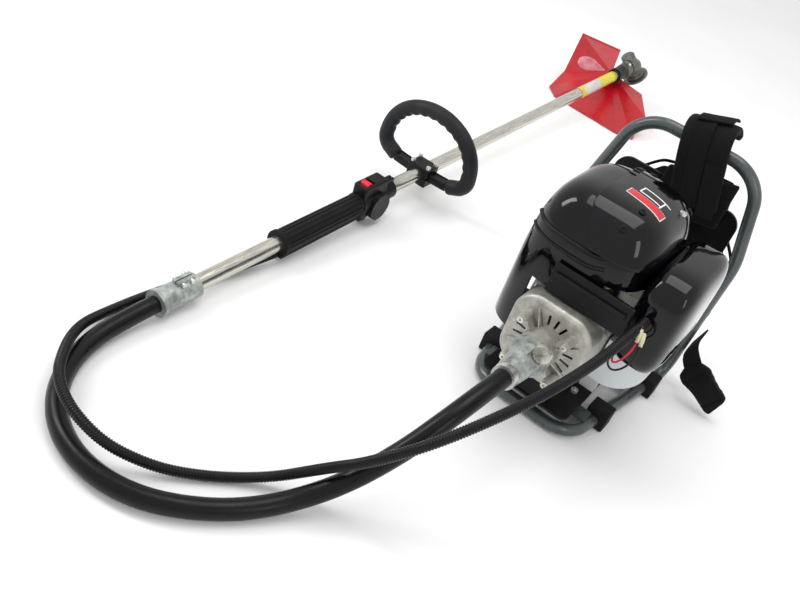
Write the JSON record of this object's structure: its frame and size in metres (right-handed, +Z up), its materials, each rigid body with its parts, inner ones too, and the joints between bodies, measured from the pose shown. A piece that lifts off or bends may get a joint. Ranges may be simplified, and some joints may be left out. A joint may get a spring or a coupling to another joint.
{
  "type": "knapsack brush cutter",
  "caption": "Knapsack brush cutter: engine on a tubular carrying frame, flexible drive hose, straight tool with loop handle, red guard and gear head.",
  "frame": {"origin": "on the ground under the middle of the object without its hose and conduit", "axes": "+Y along the tool towards its gear head, +Z up, +X from the tool towards the engine"},
  "size_m": [0.8278, 1.9215, 0.4178],
  "materials": {
    "frame_paint": "satin dark slate-grey paint",
    "black_steel": "black paint",
    "rubber": "matt black rubber",
    "cast_alu": "as-cast grey aluminium",
    "machined_steel": "machined steel",
    "zinc": "bright zinc fasteners",
    "gloss_black": "gloss black moulding",
    "matt_black": "satin black moulding",
    "tank_white": "milky translucent tank",
    "filter_foam": "foam",
    "red_plastic": "glossy red moulding",
    "fabric_black": "black woven nylon",
    "tube_alu": "drawn bright tube",
    "hose_black": "smooth black rubber",
    "conduit_black": "corrugated black plastic",
    "wire_red": "wire insulation"
  },
  "bodies": {
    "root": {"base_frame": "frame_paint", "back_frame": "frame_paint", "frame_rails": "frame_paint", "frame_feet": "rubber", "rubber_mounts": "rubber", "engine_plate": "black_steel", "engine_bracket": "black_steel", "fan_cover": "cast_alu", "engine_bolts": "zinc", "output_sleeve": "cast_alu", "clamp_screw": "zinc", "hose_ferrule": "machined_steel", "crankcase": "cast_alu", "engine_bearings": "machined_steel", "cylinder": "cast_alu", "piston": "machined_steel", "starter_case": "matt_black", "fuel_tank": "tank_white", "carburettor": "cast_alu", "air_cleaner": "matt_black", "air_filter": "filter_foam", "muffler": "black_steel", "left_shroud": "gloss_black", "top_shroud": "gloss_black", "right_shroud": "gloss_black", "front_shroud": "matt_black", "back_board": "matt_black", "back_cushion": "fabric_black", "strap_bundle": "fabric_black", "waist_pad": "fabric_black", "stop_wires": "wire_red", "coupler": "cast_alu", "tool_tube": "tube_alu", "tube_bushes": "rubber", "gear_case": "cast_alu", "head_bearings": "machined_steel", "grip_sleeve": "rubber", "throttle_case": "matt_black", "loop_handle": "rubber", "loop_spokes": "matt_black", "loop_clamp": "matt_black", "tool_bolts": "zinc", "tube_clamps": "matt_black", "guard": "red_plastic", "drive_hose": "hose_black", "throttle_conduit": "conduit_black"},
    "crank": {"crankshaft": "machined_steel", "flywheel_fan": "cast_alu", "clutch_shoes": "machined_steel"},
    "clutch_output": {"clutch_drum": "machined_steel"},
    "starter_drum": {"starter_pulley": "matt_black"},
    "starter_handle": {"starter_grip": "matt_black"},
    "cap": {"fuel_cap": "matt_black"},
    "choke": {"choke_lever": "matt_black"},
    "driveline": {"drive_rod": "machined_steel"},
    "spindle": {"output_spindle": "machined_steel", "cutter_flange": "machined_steel"},
    "rocker": {"stop_rocker": "red_plastic"},
    "trigger": {"throttle_trigger": "matt_black"}
  },
  "joints": [
    {"name": "crank_spin", "type": "hinge", "parent": "root", "child": "crank", "pos_m": [0.174, -0.579, 0.151], "axis": [0, -1, 0], "continuous": true},
    {"name": "drum_spin", "type": "hinge", "parent": "root", "child": "clutch_output", "pos_m": [0.174, -0.579, 0.151], "axis": [0, -1, 0], "continuous": true},
    {"name": "drive_rod_spin", "type": "hinge", "parent": "root", "child": "driveline", "pos_m": [-0.269, -0.832, 0.022], "axis": [0, 0.9989, 0.0478], "continuous": true},
    {"name": "spindle_spin", "type": "hinge", "parent": "root", "child": "spindle", "pos_m": [-0.269, 0.79614, 0.09992], "axis": [0.4717, 0.5341, -0.7016], "continuous": true},
    {"name": "starter_drum_turn", "type": "hinge", "parent": "root", "child": "starter_drum", "pos_m": [0.174, -0.579, 0.151], "axis": [0, 1, 0], "range_deg": [0, 80]},
    {"name": "starter_pull", "type": "slide", "parent": "root", "child": "starter_handle", "axis": [1, 0, 0], "range_m": [0, 0.05]},
    {"name": "fuel_cap_turn", "type": "hinge", "parent": "root", "child": "cap", "pos_m": [0.278, -0.397, 0.157], "axis": [0, 0, 1], "range_deg": [0, 540]},
    {"name": "choke_turn", "type": "hinge", "parent": "root", "child": "choke", "pos_m": [0.232, -0.459, 0.239], "axis": [0, -1, 0], "range_deg": [0, 50]},
    {"name": "rocker_tilt", "type": "hinge", "parent": "root", "child": "rocker", "pos_m": [-0.269, -0.3808, 0.07663], "axis": [1, 0, 0], "range_deg": [-12, 12]},
    {"name": "trigger_pull", "type": "hinge", "parent": "root", "child": "trigger", "pos_m": [-0.269, -0.3453, 0.02527], "axis": [-1, 0, 0], "range_deg": [0, 8], "stiffness_Nm_per_rad": 0.06, "springref_deg": -6.88}
  ],
  "couplings": [
    {"joint": "drive_rod_spin", "follows": "drum_spin", "ratio": 1},
    {"joint": "spindle_spin", "follows": "drum_spin", "ratio": -0.77778},
    {"joint": "starter_pull", "follows": "starter_drum_turn", "m_per_rad": 0.034}
  ]
}
